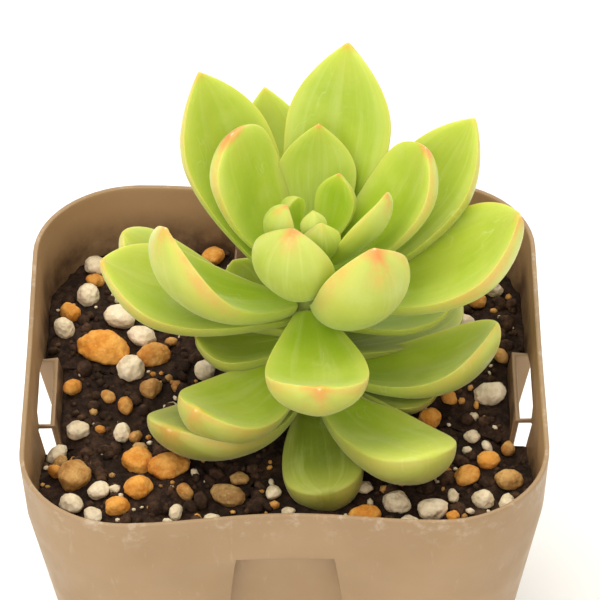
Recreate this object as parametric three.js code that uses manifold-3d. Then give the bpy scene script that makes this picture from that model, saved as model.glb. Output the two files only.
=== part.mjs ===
// A small rosette succulent growing in a square, thin-walled plastic pot.
// Millimetres, +Z up, origin at the middle of the pot's foot.
import * as THREE from 'three';
import { mergeVertices } from 'three/addons/utils/BufferGeometryUtils.js';
import Module from 'manifold-3d';

const wasm = await Module();
wasm.setup();

// ---- pot -----------------------------------------------------------------
const RIM = 70;               // across the flats at the rim
const BASE = 50;              // across the flats at the foot
const HEIGHT = 60;
const WALL = 0.65;
const COLLAR = 8;             // the near-upright band under the rim
const COLLAR_SLOPE = 0.075;   // how much it draws in, mm per mm
const CORNER = 14.5;          // corner radius at the rim
const CORNER_LOSS = 0.15;     // and how fast it shrinks going down
const BOW = 1.6;              // the front and back rims sag inward this much
const SIDE_BOW = 0.1;
const FOOT = 2;               // gap under the floor
const FLOOR = 1.2;
const LEDGE = 7.9;            // top of each recess, below the rim
const RECESS = 2.45;          // how far the recess is set in
const RECESS_WIDTH = 12.8;    // at its top
const RECESS_FLARE = 0.11;    // each side widens this much per mm going down
const RIB = 0.7;              // side walls of the recess
const SLIT = 4.4;             // height of the slits in those side walls
const HOLE = 9;               // middle drain hole
const SMALL_HOLE = 3.4;
const SMALL_HOLES = 8;
const HOLE_RING = 15;         // radius of the ring of small holes

// ---- plant and soil ------------------------------------------------------
const GAP = 0.3;              // clearance kept between touching parts
const SOIL = 50;              // mean height of the soil surface
const AXIS = [3.8, 2.0];      // where the stem stands
const STEM_REACH = 2.6;       // leaves spring from this far out
const PEAK = 0.62;            // widest place along a leaf
const CUP = 0.10;             // hollow of the upper face, share of the width
const AROUND = 12;            // facets round a leaf
const ALONG = 10;             // facets from base to tip

// Leaves, from the youngest in the middle to the oldest on the soil:
// bearing, height of the base over the rim, lift, extra lift at the tip,
// length, width, thickness, roll about its own length, bluntness of the end.
const LEAVES = [
  [277.9, 18.9, 73, 38, 5.5, 3.6, 2.4, 0, 0.1],
  [286.2, 16.3, 57.9, 30.9, 8.4, 5.4, 2.6, -8, 0.1],
  [129.2, 16.5, 81, 12.6, 6, 3.6, 2.4, 6, 0.1],
  [202.4, 16.3, 66.9, 42.2, 8, 5.7, 2.8, 7, 0.1],
  [54.8, 14, 57.4, 22.3, 10.8, 6, 2.8, 1.5, 0],
  [336.8, 14.7, 58.9, -0.7, 16.2, 9.1, 3, -10, 0],
  [84.5, 12, 45.6, 21, 18, 10.8, 3.8, 4.7, 0],
  [253.8, 12.8, 38.2, 71, 13.8, 11.7, 4.7, -9.7, 0.35],
  [16.5, 11.6, 43.5, 20.6, 22.1, 13.4, 4.3, 4, 0.45],
  [147, 11.5, 57.4, 12.4, 20.9, 14.4, 3.7, 4.7, 0.9],
  [305, 7.7, 41.3, 34, 21.7, 12.8, 6, -9.7, 0.35],
  [75.5, 9.7, 45.2, 16.9, 31.1, 15, 4.6, -4, 0],
  [200, 7.3, 21.2, 56.1, 26.2, 14.2, 5, 8.1, 0.25],
  [-0.8, 8.1, 13.9, 31.1, 28.9, 16, 5.7, 4.3, 0.35],
  [133.9, 7.7, 46.9, 17.5, 32.2, 14.9, 4.8, 2.2, 0.05],
  [32.7, 7, 29.6, 20.6, 30.8, 13.7, 5.1, 1.5, 0.1],
  [272.1, 6.6, 5.1, 26.4, 24.5, 13.8, 5.7, -2.1, 0.45],
  [182.5, 5, 11.9, 21, 27.6, 14.2, 5, -5.7, 0.25],
  [102.6, 5, 24.6, 19.4, 30.7, 13.4, 5, 0, 0],
  [349.7, -5, 4.1, 48.5, 26, 13.2, 4.7, -7.4, 0.25],
  [164.5, 1.5, 13.3, 28.4, 26.8, 10.6, 4.5, 1.6, 0.7],
  [232.2, -1.6, -3.9, 44.9, 24, 12.7, 5.1, -3.3, 0.6],
  [15.6, 2.7, 0, 16.5, 18.6, 12, 3.6, 0, 0.3],
  [57, 1.5, 4, 22, 24, 13, 5, 0, 0.3],
  [132, 0.5, 4, 20, 14, 11, 4.6, 0, 0.3],
  [188, 0, 2, 10, 13.5, 9.5, 4, 0, 0.3],
  [303, -6.6, 5, 20, 27.5, 13.4, 5.4, -11, 0.9],
  [224.2, -6.7, 3.5, 28, 25.2, 16.5, 4.6, 13, 0.8],
  [88, -2.5, -10, 10, 22, 12.5, 5, 0, 0.5],
  [33, -3, -8, 10, 22, 12.5, 5, 0, 0.5],
  [273.9, -8.1, 0.7, 7.1, 22.1, 11, 6.2, 6, 0.8],
  [344.2, -6.4, 0.9, -4.7, 15.1, 8.8, 3.4, -1.9, 0.5],
];

// Grains lying on the soil: across, deep, length, breadth, turn.
const CLAY = [
  [-25.1, 10.2, 7.6, 5.6, 150],
  [-18.4, 9.2, 5.2, 3.6, 20],
  [-19.9, -12.0, 4.3, 4.0, 0],
  [-15.8, -13.6, 5.4, 4.3, 20],
  [-19.7, -17.8, 3.8, 3.6, 0],
  [-22.4, -21.4, 3.7, 2.8, 10],
  [-28.4, -15.0, 4.8, 4.4, 60],
  [-7.6, -19.2, 5.0, 3.4, 160],
  [10.6, -23.0, 4.3, 3.4, 10],
  [19.7, -4.6, 3.6, 3.0, 40],
  [27.4, -12.3, 3.2, 3.0, 0],
  [24.4, -15.6, 3.9, 3.2, 50],
  [30.0, -16.6, 3.8, 3.0, 170],
];
const PERLITE = [
  [-27.8, 22.7, 3.8, 3.4, 70],
  [-23.2, 17.2, 4.8, 3.6, 150],
  [-20.0, 13.4, 4.2, 3.2, 160],
  [-21.3, 6.4, 4.2, 3.8, 80],
  [-28.3, -5.3, 3.4, 2.9, 10],
  [-25.0, -17.9, 3.2, 2.6, 30],
  [-28.6, -20.2, 3.6, 3.0, 140],
  [14.9, -20.6, 4.0, 3.2, 150],
  [19.6, -22.6, 4.4, 3.2, 10],
  [28.1, 0.4, 4.8, 3.6, 20],
  [26.4, -20.6, 3.3, 3.0, 120],
];

const radians = THREE.MathUtils.degToRad;
const clamp = THREE.MathUtils.clamp;

// A closed three.js geometry as a body that can be cut and joined.
function body(geometry) {
  const bare = geometry.clone();
  bare.deleteAttribute('normal');
  bare.deleteAttribute('uv');
  const g = mergeVertices(bare, 1e-4);
  return new wasm.Manifold(new wasm.Mesh({
    numProp: 3,
    vertProperties: new Float32Array(g.attributes.position.array),
    triVerts: new Uint32Array(g.index.array),
  }));
}

// And back again, as a mesh with its own material.
function mesh(name, solid, color, roughness) {
  const out = solid.getMesh();
  const g = new THREE.BufferGeometry();
  g.setAttribute('position', new THREE.BufferAttribute(out.vertProperties, 3));
  g.setIndex(new THREE.BufferAttribute(out.triVerts, 1));
  g.computeVertexNormals();
  const material = new THREE.MeshStandardMaterial({ color, roughness, metalness: 0 });
  const part = new THREE.Mesh(g, material);
  part.name = name;
  return part;
}

function movePoints(geometry, place) {
  const p = geometry.attributes.position;
  for (let i = 0; i < p.count; i += 1) {
    const at = place(i, p.getX(i), p.getY(i), p.getZ(i));
    p.setXYZ(i, at[0], at[1], at[2]);
  }
  return geometry;
}

// ---- the pot's outline ---------------------------------------------------
function halfWidth(z) {
  const depth = HEIGHT - z;
  const collar = RIM / 2 - Math.min(depth, COLLAR) * COLLAR_SLOPE;
  if (depth < COLLAR) return collar;
  const slope = (collar - BASE / 2) / (HEIGHT - COLLAR);
  return collar - (depth - COLLAR) * slope;
}

// One point of the rounded square at height z, drawn in by inset.
// u runs 0..4 once round, starting in the middle of a corner.
function outlinePoint(u, z, inset) {
  const half = halfWidth(z) - inset;
  const radius = Math.max(CORNER - CORNER_LOSS * (HEIGHT - z) - inset, 1);
  const side = Math.floor(u) % 4;
  const v = u - Math.floor(u);
  const straight = half - radius;
  let along;
  let out;
  if (v < 0.25 || v > 0.75) {
    const turn = v < 0.25 ? (0.25 - v) * Math.PI : (v - 0.75) * Math.PI;
    along = (v < 0.25 ? -1 : 1) * (straight + radius * Math.sin(turn));
    out = straight + radius * Math.cos(turn);
  } else {
    along = (v - 0.5) * 4 * straight;
    out = half;
  }
  const sag = (side % 2 === 0 ? SIDE_BOW : BOW) * (clamp(z, 0, HEIGHT) / HEIGHT) ** 2;
  out -= sag * Math.cos((Math.PI / 2) * clamp(along / straight, -1, 1)) ** 2;
  const a = side * (Math.PI / 2);
  return [out * Math.cos(a) - along * Math.sin(a), out * Math.sin(a) + along * Math.cos(a)];
}

// A solid block with the pot's outline between two heights.
function block(bottom, top, inset) {
  const around = 48;
  const kink = HEIGHT - COLLAR;
  const between = [0, kink / 2, kink, HEIGHT].filter((z) => z > bottom && z < top);
  const levels = [bottom, ...between, top];
  const g = new THREE.CylinderGeometry(1, 1, 1, around, levels.length - 1);
  movePoints(g, (i, x, y, z) => {
    const level = levels[Math.round((y + 0.5) * (levels.length - 1))];
    if (Math.hypot(x, z) < 0.5) return [0, 0, level];
    const turn = Math.atan2(-z, x) / (2 * Math.PI);
    const step = Math.round((turn < 0 ? turn + 1 : turn) * around) % around;
    const at = outlinePoint((step / around) * 4, level, inset);
    return [at[0], at[1], level];
  });
  return body(g);
}

// The wedge a recess takes out of one side, wider toward the foot.
function wedge(side, bottom, top, grow) {
  const g = new THREE.BoxGeometry(1, 1, 1);
  movePoints(g, (i, x, y, z) => {
    const level = z > 0 ? top : bottom;
    const drop = HEIGHT - LEDGE - level;
    const half = RECESS_WIDTH / 2 + RECESS_FLARE * drop + grow;
    return [x > 0 ? RIM : 8, Math.sign(y) * half, level];
  });
  g.rotateZ(side * (Math.PI / 2));
  return body(g);
}

function tube(x, y, radius, bottom, top) {
  const g = new THREE.CylinderGeometry(radius, radius, top - bottom, 24);
  g.rotateX(Math.PI / 2);
  g.translate(x, y, (top + bottom) / 2);
  return body(g);
}

function makePot() {
  const ledge = HEIGHT - LEDGE;
  const floorTop = FOOT + FLOOR;
  let pot = block(0, HEIGHT, 0);
  pot = pot.subtract(block(floorTop, HEIGHT + 2, WALL));
  pot = pot.subtract(block(-2, FOOT, WALL));
  const whole = block(0, HEIGHT, 0);
  const inner = block(-1, HEIGHT + 1, WALL);
  const panelFace = block(-3, HEIGHT + 3, RECESS);
  const panelBack = block(-4, HEIGHT + 4, RECESS + WALL);
  for (let side = 0; side < 4; side += 1) {
    const outside = wedge(side, 0, ledge, RIB).intersect(whole);
    pot = pot.add(outside.subtract(panelBack));
    pot = pot.subtract(wedge(side, -2, ledge, 0).subtract(panelFace));
    const slitTop = ledge - RIB;
    // The two side recesses are slit on their front wall only.
    let slit = wedge(side, slitTop - SLIT, slitTop, RIB + 1);
    if (side % 2 === 0) slit = slit.trimByPlane([0, -1, 0], 0);
    pot = pot.subtract(slit.intersect(inner).subtract(panelFace));
  }
  pot = pot.subtract(tube(0, 0, HOLE / 2, FOOT - 1, floorTop + 1));
  for (let i = 0; i < SMALL_HOLES; i += 1) {
    const a = ((i + 0.5) / SMALL_HOLES) * 2 * Math.PI;
    const x = HOLE_RING * Math.cos(a);
    const y = HOLE_RING * Math.sin(a);
    pot = pot.subtract(tube(x, y, SMALL_HOLE / 2, FOOT - 1, floorTop + 1));
  }
  return pot;
}

// ---- soil ----------------------------------------------------------------
function soilHeight(x, y) {
  const away = Math.hypot(x - AXIS[0], y - AXIS[1]);
  const mound = 0.9 * Math.exp(-((away / 13) ** 2));
  const ripple = 0.35 * Math.sin(x * 0.31 + 1.1) * Math.cos(y * 0.27 - 0.4);
  const washed = 2.3 * Math.exp(-(((Math.abs(x) - 31) / 4) ** 2) - ((y + 9) / 3.6) ** 2);
  return SOIL + mound + ripple - washed + 0.25 * Math.sin(x * 0.11 - y * 0.17);
}

function makeSoil() {
  const floorTop = FOOT + FLOOR;
  const steps = 14;
  const slab = new THREE.BoxGeometry(RIM, RIM, 1, steps, steps, 1);
  movePoints(slab, (i, x, y, z) => {
    if (z < 0) return [x, y, floorTop + GAP];
    return [x, y, soilHeight(x, y)];
  });
  let soil = block(floorTop + GAP, HEIGHT, WALL + GAP).intersect(body(slab));
  const panelBack = block(-3, HEIGHT + 3, RECESS + WALL + GAP);
  for (let side = 0; side < 4; side += 1) {
    const room = wedge(side, -2, HEIGHT + 1, RIB + GAP);
    soil = soil.subtract(room.subtract(panelBack));
  }
  return soil;
}

// ---- plant ---------------------------------------------------------------
// A blunt leaf is widest nearer its end.
function widthShare(t, blunt) {
  const peak = PEAK + 0.1 * blunt;
  if (t < peak) return 0.34 + 0.66 * Math.sin((Math.PI / 2) * (t / peak)) ** 1.15;
  const u = Math.min((t - peak) / (1 - peak), 1);
  return Math.max(1 - u ** (1.9 + 0.9 * blunt), 0) ** (1 - 0.42 * blunt);
}

function bellyShare(t, blunt) {
  const peak = PEAK + 0.1 * blunt;
  if (t < peak) return 0.45 + 0.55 * Math.sin((Math.PI / 2) * (t / peak));
  const u = Math.min((t - peak) / (1 - peak), 1);
  return Math.max(1 - u ** (1.8 + 0.6 * blunt), 0) ** (0.8 - 0.3 * blunt);
}

// A fleshy leaf: a slightly hollow face above, a full belly below that turns
// to a keel at a pointed tip, and a narrow base. grow makes the room it needs.
function makeLeaf(row, grow) {
  const [bearing, rise, lift, curl, length, width, thick, roll, blunt] = row;
  const long = length + 2 * grow;
  const wide = width + 2 * grow;
  const deep = thick + grow;
  const parts = 80;
  const spine = [[-grow * Math.cos(radians(lift)), -grow * Math.sin(radians(lift))]];
  for (let i = 1; i <= parts; i += 1) {
    const a = radians(lift + curl * ((i - 0.5) / parts) ** 1.3);
    const last = spine[i - 1];
    spine.push([last[0] + (Math.cos(a) * long) / parts, last[1] + (Math.sin(a) * long) / parts]);
  }
  const g = new THREE.SphereGeometry(1, AROUND, ALONG);
  movePoints(g, (i) => {
    const row_ = Math.floor(i / (AROUND + 1));
    const turn = ((i % (AROUND + 1)) / AROUND) * 2 * Math.PI;
    const t = row_ < 2 ? 0 : 1 - (1 - (row_ - 1) / (ALONG - 1)) ** 1.25;
    const slope = radians(lift + curl * t ** 1.3);
    const k = Math.min(Math.floor(t * parts), parts - 1);
    const f = t * parts - k;
    const mid = [0, 1].map((j) => spine[k][j] + (spine[k + 1][j] - spine[k][j]) * f);
    let across = -Math.cos(turn);
    let s = Math.sin(turn);
    if (row_ === 0 || row_ === ALONG) {
      across = 0;
      s = 0;
    }
    const flat = (wide / 2) * widthShare(t, blunt) * across;
    const full = bellyShare(t, blunt);
    const keel = 0.55 * (1 - blunt) * Math.max((t - 0.45) / 0.55, 0) ** 2;
    const round = (1 - keel) * Math.abs(s) ** 0.9 + keel * (1 - Math.abs(across)) ** 0.9;
    const swell = Math.max(blunt - 0.5, 0);
    const hollow = -CUP * wide * Math.sin(Math.PI * t) * (1 - 1.3 * swell * clamp(1.4 * t - 0.3, 0, 1));
    const crown = 0.4 * swell * deep * full * clamp(2.2 * t - 0.8, 0, 1) * s;
    const face = (hollow + 0.08 * deep * full) * s * s + crown;
    const high = (s < 0 ? -deep * full * round : face) + (s > 0 ? grow * Math.min(1, 2 * s) : 0);
    const side = flat * Math.cos(radians(roll)) - high * Math.sin(radians(roll));
    const up = flat * Math.sin(radians(roll)) + high * Math.cos(radians(roll));
    const out = STEM_REACH + mid[0] - up * Math.sin(slope);
    return [out, side, mid[1] + up * Math.cos(slope)];
  });
  g.rotateZ(radians(bearing));
  g.translate(AXIS[0], AXIS[1], HEIGHT + rise);
  return body(g);
}

function makeStem(grow) {
  const profile = [
    [0, 44 - grow], [2.5 + grow, 44 - grow], [2.4 + grow, 52], [2.1 + grow, 62],
    [1.7 + grow, 72], [1.3 + grow, 77], [0.7 + grow, 79.4], [0, 80.2 + grow],
  ];
  const points = profile.map((p) => new THREE.Vector2(p[0], p[1]));
  const g = new THREE.LatheGeometry(points, 16);
  g.rotateX(Math.PI / 2);
  g.translate(AXIS[0], AXIS[1], 0);
  return body(g);
}

// A lumpy pebble, pressed a third of its height into the soil.
function makeGrain(row, number, grow) {
  const [x, y, length, breadth, turn] = row;
  const g = new THREE.IcosahedronGeometry(1, 1);
  movePoints(g, (i, a, b, c) => {
    const lump = 1 + 0.09 * Math.sin(3 * a + 2.3 * number) * Math.cos(4 * b + number)
      + 0.07 * Math.sin(5 * c + 1.7 * number);
    return [
      a * lump * (length / 2 + grow),
      b * lump * (breadth / 2 + grow),
      c * lump * (breadth * 0.42 + grow),
    ];
  });
  g.rotateZ(radians(turn));
  g.translate(x, y, soilHeight(x, y) + breadth * 0.14);
  return body(g);
}

function apart(a, b) {
  const p = a.boundingBox();
  const q = b.boundingBox();
  return [0, 1, 2].some((k) => p.min[k] > q.max[k] || q.min[k] > p.max[k]);
}

// Takes the room of everything already placed out of a new body and keeps
// its largest piece.
function fit(solid, placed) {
  let left = solid;
  for (const other of placed) {
    if (!apart(left, other)) left = left.subtract(other);
  }
  const pieces = left.decompose();
  pieces.sort((a, b) => b.volume() - a.volume());
  return pieces[0];
}

const model = new THREE.Group();
model.name = 'potted_succulent';
const pot = makePot();
model.add(mesh('pot', pot, 0xa98d6f, 0.5));

const placed = [makeStem(GAP)];
const two = (n) => String(n).padStart(2, '0');
const stemParts = [mesh('stem', makeStem(0), 0x9fae5a, 0.6)];
LEAVES.forEach((row, i) => {
  const leaf = fit(makeLeaf(row, 0), placed);
  placed.push(makeLeaf(row, GAP));
  stemParts.push(mesh(`leaf_${two(i + 1)}`, leaf, 0x9dbb3a, 0.45));
});

const grains = [];
const scatter = (rows, label, color, shift) => rows.forEach((row, i) => {
  const grain = fit(makeGrain(row, i + shift, 0), placed);
  placed.push(makeGrain(row, i + shift, GAP));
  grains.push(mesh(`${label}_${two(i + 1)}`, grain, color, 0.85));
});
scatter(CLAY, 'clay', 0xd9892f, 1);
scatter(PERLITE, 'perlite', 0xe9dfcc, 21);

model.add(mesh('soil', fit(makeSoil(), placed), 0x35281f, 0.95));
stemParts.forEach((part) => model.add(part));
grains.forEach((part) => model.add(part));

export default model;
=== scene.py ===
# %% [markdown]
# # A small succulent in a square plastic pot
# The solids of the pot, the soil, the stem, the leaves and the larger grains are loaded as a fixed frame.
# Each of them is then given a finer surface in the same place, with a material of its own.
# Lengths in this file are in millimetres, and each piece is brought to metres as its last step.

# %% Load the frame
import bpy
import bmesh
import math
import random
from mathutils import Matrix, Vector, kdtree, noise


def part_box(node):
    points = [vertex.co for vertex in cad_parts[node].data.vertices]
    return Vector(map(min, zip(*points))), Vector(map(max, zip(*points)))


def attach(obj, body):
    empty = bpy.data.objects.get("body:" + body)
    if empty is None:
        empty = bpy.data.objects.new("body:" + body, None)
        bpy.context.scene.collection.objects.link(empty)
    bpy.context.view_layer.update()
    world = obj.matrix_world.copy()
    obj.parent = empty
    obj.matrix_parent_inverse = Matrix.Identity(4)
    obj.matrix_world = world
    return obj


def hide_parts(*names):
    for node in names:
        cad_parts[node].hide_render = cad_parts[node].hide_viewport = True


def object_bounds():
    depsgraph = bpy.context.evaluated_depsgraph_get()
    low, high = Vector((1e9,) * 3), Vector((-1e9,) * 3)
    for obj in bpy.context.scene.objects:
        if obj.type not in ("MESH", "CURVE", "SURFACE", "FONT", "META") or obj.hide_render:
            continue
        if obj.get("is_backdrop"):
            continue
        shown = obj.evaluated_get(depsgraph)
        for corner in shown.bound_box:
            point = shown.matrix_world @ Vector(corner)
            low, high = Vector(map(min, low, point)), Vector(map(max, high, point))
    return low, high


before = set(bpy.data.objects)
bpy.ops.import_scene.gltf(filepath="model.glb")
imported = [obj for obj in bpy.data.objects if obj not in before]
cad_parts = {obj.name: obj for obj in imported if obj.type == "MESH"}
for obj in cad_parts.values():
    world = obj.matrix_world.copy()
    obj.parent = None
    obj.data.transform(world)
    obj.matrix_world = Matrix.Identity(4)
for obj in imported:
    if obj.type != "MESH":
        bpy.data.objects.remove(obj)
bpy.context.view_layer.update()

# %% [markdown]
# ## Camera
# A flat, close portrait of a plant is taken with a long lens from well back, looking down at 40 degrees.
# The camera's three axes are worked out from its bearing and height and put straight into its matrix,
# because that also takes the slight lean of a camera held by hand. A fitting program found the values.

# %% Camera
CAMERA_BEARING = 0.44
CAMERA_HEIGHT = 40.74
CAMERA_LEAN = -0.98
CAMERA_AWAY = 585.0
LENS = 255.7
AIM = Vector((2.19, 9.50, 60.0))
SENSOR = 36.0
NEAR, FAR = 0.05, 20.0


def make_camera():
    a, e, lean = (math.radians(v) for v in (CAMERA_BEARING, CAMERA_HEIGHT, CAMERA_LEAN))
    back = Vector((math.sin(a) * math.cos(e), -math.cos(a) * math.cos(e), math.sin(e)))
    right = (-back).cross(Vector((0, 0, 1))).normalized()
    up = right.cross(-back)
    level, upright = right.copy(), up.copy()
    right = math.cos(lean) * level + math.sin(lean) * upright
    up = -math.sin(lean) * level + math.cos(lean) * upright
    data = bpy.data.cameras.new("camera")
    data.sensor_width = SENSOR
    data.lens = LENS
    data.clip_start, data.clip_end = NEAR, FAR
    camera = bpy.data.objects.new("camera", data)
    bpy.context.scene.collection.objects.link(camera)
    turned = Matrix((right, up, back)).transposed().to_4x4()
    camera.matrix_world = Matrix.Translation((AIM + back * CAMERA_AWAY) / 1000) @ turned
    bpy.context.scene.camera = camera
    return camera


camera = make_camera()
bpy.context.scene.view_settings.view_transform = "Standard"
print("camera stands", [round(v, 3) for v in camera.matrix_world.translation])

# %% [markdown]
# ## Small tools
# Every piece is made the same way: a bmesh is shaped, put into an object, told which body it rides on
# and which slot its finish comes from, and the solid it stands for is hidden. One function does that part.
# The others pick new vertices and edges out of an extrusion, and order a ring from the pot's corner on.

# %% Finishing a piece
MM = 0.001


def finish_piece(name, bm, material, stands_for=(), smooth=True):
    bmesh.ops.scale(bm, vec=(MM, MM, MM), verts=bm.verts)
    for face in bm.faces:
        face.smooth = smooth
    mesh = bpy.data.meshes.new(name)
    bm.to_mesh(mesh)
    bm.free()
    mesh.materials.append(material)
    piece = bpy.data.objects.new(name, mesh)
    bpy.context.scene.collection.objects.link(piece)
    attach(piece, "root")
    if stands_for:
        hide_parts(*stands_for)
    return piece


def smoother(piece, levels):
    finer = piece.modifiers.new("finer", "SUBSURF")
    finer.levels = levels
    finer.render_levels = levels


def new_verts(made):
    return [part for part in made if isinstance(part, bmesh.types.BMVert)]


def ring_at(made, level):
    edges = [part for part in made if isinstance(part, bmesh.types.BMEdge)]
    return [edge for edge in edges if all(abs(v.co.z - level) < 0.01 for v in edge.verts)]


def turn_from_corner(vert):
    return (math.atan2(vert.co.y, vert.co.x) + math.pi / 4 + 1e-4) % (2 * math.pi)


def ease(low, high, value):
    share = min(max((value - low) / (high - low), 0.0), 1.0)
    return share * share * (3 - 2 * share)


# %% [markdown]
# Colours are picked as they look on a screen, from 0 to 255, and changed to the linear values that a
# shader wants. A short helper also joins nodes, so that a material reads as a list of its layers.
# A colour Mix node has its two colours at inputs 6 and 7, and the mixed colour at output 2.

# %% Colours and nodes
MIX_UNDER, MIX_OVER, MIX_RESULT = 6, 7, 2


def tint(red, green, blue):
    shades = [v / 255 for v in (red, green, blue)]
    linear = [v / 12.92 if v <= 0.04045 else ((v + 0.055) / 1.055) ** 2.4 for v in shades]
    return (*linear, 1.0)


class Finish:
    """One material and the few kinds of node that the finishes here are built from."""

    def __init__(self, name, roughness, specular=0.5):
        self.material = bpy.data.materials.new(name)
        self.material.use_nodes = True
        self.nodes = self.material.node_tree.nodes
        self.links = self.material.node_tree.links
        self.shader = self.nodes["Principled BSDF"]
        self.shader.inputs["Roughness"].default_value = roughness
        self.shader.inputs["Specular IOR Level"].default_value = specular
        self.place = self.nodes.new("ShaderNodeTexCoord").outputs["Object"]

    def plug(self, value, socket):
        if isinstance(value, bpy.types.NodeSocket):
            self.links.new(value, socket)
        else:
            socket.default_value = value

    def attribute(self, name):
        node = self.nodes.new("ShaderNodeAttribute")
        node.attribute_name = name
        return node.outputs["Fac"]

    def stretched(self, scale):
        node = self.nodes.new("ShaderNodeMapping")
        self.links.new(self.place, node.inputs["Vector"])
        node.inputs["Scale"].default_value = scale
        return node.outputs["Vector"]

    def joined(self, x, y, z=0.0):
        node = self.nodes.new("ShaderNodeCombineXYZ")
        for value, socket in zip((x, y, z), node.inputs):
            self.plug(value, socket)
        return node.outputs["Vector"]

    def grain(self, scale, detail=4.0, rough=0.55, where=None):
        node = self.nodes.new("ShaderNodeTexNoise")
        self.links.new(where or self.place, node.inputs["Vector"])
        node.inputs["Scale"].default_value = scale
        node.inputs["Detail"].default_value = detail
        node.inputs["Roughness"].default_value = rough
        return node.outputs["Fac"]

    def pits(self, scale):
        node = self.nodes.new("ShaderNodeTexVoronoi")
        self.links.new(self.place, node.inputs["Vector"])
        node.inputs["Scale"].default_value = scale
        return node.outputs["Distance"]

    def ramp(self, value, low, high, start=0.0, end=1.0):
        node = self.nodes.new("ShaderNodeMapRange")
        node.interpolation_type = "SMOOTHSTEP"
        self.plug(value, node.inputs["Value"])
        for socket, number in (("From Min", low), ("From Max", high), ("To Min", start), ("To Max", end)):
            node.inputs[socket].default_value = number
        return node.outputs["Result"]

    def sum(self, how, a, b):
        node = self.nodes.new("ShaderNodeMath")
        node.operation = how
        self.plug(a, node.inputs[0])
        self.plug(b, node.inputs[1])
        return node.outputs["Value"]

    def times(self, first, *others):
        for other in others:
            first = self.sum("MULTIPLY", first, other)
        return first

    def mix(self, share, under, over):
        node = self.nodes.new("ShaderNodeMix")
        node.data_type = "RGBA"
        self.plug(share, node.inputs["Factor"])
        self.plug(under, node.inputs[MIX_UNDER])
        self.plug(over, node.inputs[MIX_OVER])
        return node.outputs[MIX_RESULT]

    def bump(self, height, strength, depth, over=None):
        node = self.nodes.new("ShaderNodeBump")
        node.inputs["Strength"].default_value = strength
        node.inputs["Distance"].default_value = depth * MM
        self.links.new(height, node.inputs["Height"])
        if over:
            self.links.new(over, node.inputs["Normal"])
        return node.outputs["Normal"]

    def wear(self, **sockets):
        for name, value in sockets.items():
            self.plug(value, self.shader.inputs[name.replace("_", " ")])
        return self.material


print("tools ready")

# %% [markdown]
# ## Light and floor
# A bright, plain table by a large window: the floor is nearly white, the sky round it is white and even,
# and one big soft lamp above and a little to the left gives the leaves their gentle roundness.
# A weak lamp behind lets some light through the upper leaves, and a broad one in front fills the shade
# under them, as a white wall across the room would.

# %% Light and floor
LAMPS_AIM = Vector((0, 0, 0.06))


def make_lamp(name, place, size, power, colour):
    data = bpy.data.lights.new(name, "AREA")
    data.shape = "DISK"
    data.size = size
    data.energy = power
    data.color = colour
    lamp = bpy.data.objects.new(name, data)
    bpy.context.scene.collection.objects.link(lamp)
    lamp.location = place
    lamp.rotation_mode = "QUATERNION"
    lamp.rotation_quaternion = (LAMPS_AIM - Vector(place)).to_track_quat("-Z", "Y")


def make_sky(strength, colour):
    sky = bpy.data.worlds.new("sky")
    sky.use_nodes = True
    shade = sky.node_tree.nodes["Background"]
    shade.inputs["Color"].default_value = colour
    shade.inputs["Strength"].default_value = strength
    bpy.context.scene.world = sky


def make_floor():
    finish = Finish("floor_paper", 0.9, 0.1)
    mottle = finish.ramp(finish.grain(3.0, 2.0), 0.3, 0.7)
    finish.wear(Base_Color=finish.mix(mottle, (0.95, 0.945, 0.92, 1), (0.965, 0.96, 0.94, 1)))
    bm = bmesh.new()
    bmesh.ops.create_grid(bm, x_segments=4, y_segments=4, size=2.0)
    mesh = bpy.data.meshes.new("floor")
    bm.to_mesh(mesh)
    bm.free()
    mesh.materials.append(finish.material)
    floor = bpy.data.objects.new("floor", mesh)
    bpy.context.scene.collection.objects.link(floor)
    floor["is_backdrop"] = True


make_sky(0.93, (1.0, 0.995, 0.965, 1.0))
make_lamp("key_lamp", (-0.22, 0.05, 1.05), 0.90, 4.6, (1.0, 0.985, 0.95))
make_lamp("back_lamp", (0.25, 0.60, 0.60), 0.60, 1.6, (1.0, 0.99, 0.95))
make_lamp("front_lamp", (-0.28, -0.80, 0.62), 0.90, 2.9, (1.0, 0.99, 0.96))
make_floor()
print("lamps and floor set")

# %% [markdown]
# ## The pot's outline
# The pot is a rounded square that narrows downward. Its front and back rims sag inward a little, as
# thin moulded walls do. Wall, soil and floor all follow one function for that outline, so that they fit.
# The number u walks round the pot, one unit a side, starting in the middle of a corner. Half a side is
# shared out between a quarter for the corner, 0.15 for the flat flank and 0.1 for the recess panel.

# %% The pot's outline
RIM, BASE, TALL = 70.0, 50.0, 60.0
WALL = 0.65
COLLAR, COLLAR_SLOPE = 8.0, 0.075
CORNER, CORNER_LOSS = 14.5, 0.15
BOW, SIDE_BOW = 1.6, 0.1
LEDGE = TALL - 7.9
RECESS = 2.45
RECESS_HALF, RECESS_FLARE = 6.4, 0.11
RIB, SLIT = 0.7, 4.4
FOOT, FLOOR = 2.0, 1.2
CORNER_SHARE, FLANK_SHARE, PANEL_SHARE = 0.25, 0.15, 0.1
HAIR = 1e-5


def half_width(z):
    depth = TALL - z
    collar = RIM / 2 - min(depth, COLLAR) * COLLAR_SLOPE
    if depth < COLLAR:
        return collar
    return collar - (depth - COLLAR) * (collar - BASE / 2) / (TALL - COLLAR)


def recess_half(z):
    return RECESS_HALF + RECESS_FLARE * max(LEDGE - z, 0.0)


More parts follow.
